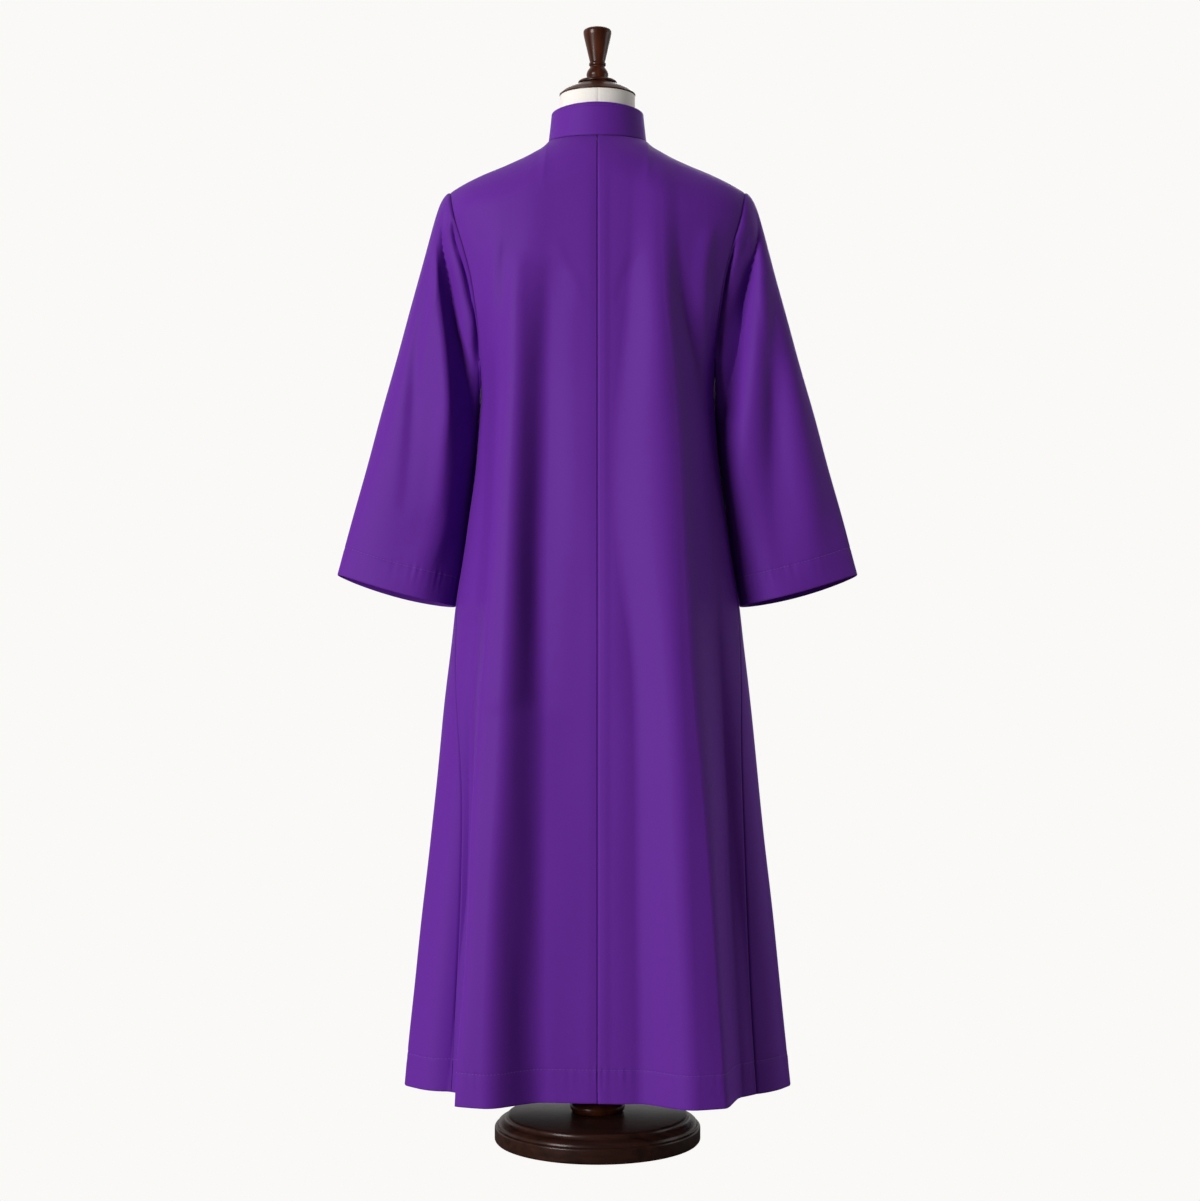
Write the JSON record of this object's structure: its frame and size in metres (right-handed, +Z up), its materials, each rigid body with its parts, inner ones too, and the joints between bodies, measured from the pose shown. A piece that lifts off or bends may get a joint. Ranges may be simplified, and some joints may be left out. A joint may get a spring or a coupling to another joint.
{
  "type": "cassock on a dress form",
  "caption": "Full-length purple cassock with a band collar and wide set-in sleeves, hanging on a limbless dress form with a turned wood cap and round base.",
  "frame": {"origin": "middle of the round base's underside, on the floor", "axes": "+Z up along the pole; the garment's back faces -Y and its front +Y, so the wearer's left is at -X"},
  "size_m": [0.76, 0.35, 1.6215],
  "materials": {
    "purple_cloth": "fine plain weave with a low soft sheen",
    "linen_cover": "matt cream linen stretched over the form",
    "dark_wood": "dark stain under a satin varnish",
    "pole_metal": "plain brushed tube"
  },
  "bodies": {
    "root": {"back_left": "purple_cloth", "back_right": "purple_cloth", "front_left": "purple_cloth", "front_right": "purple_cloth", "sleeve_left": "purple_cloth", "sleeve_right": "purple_cloth", "collar": "purple_cloth", "form_torso": "linen_cover", "neck_cap": "dark_wood", "finial": "dark_wood", "base": "dark_wood", "base_hub": "dark_wood", "pole": "pole_metal"}
  },
  "joints": []
}
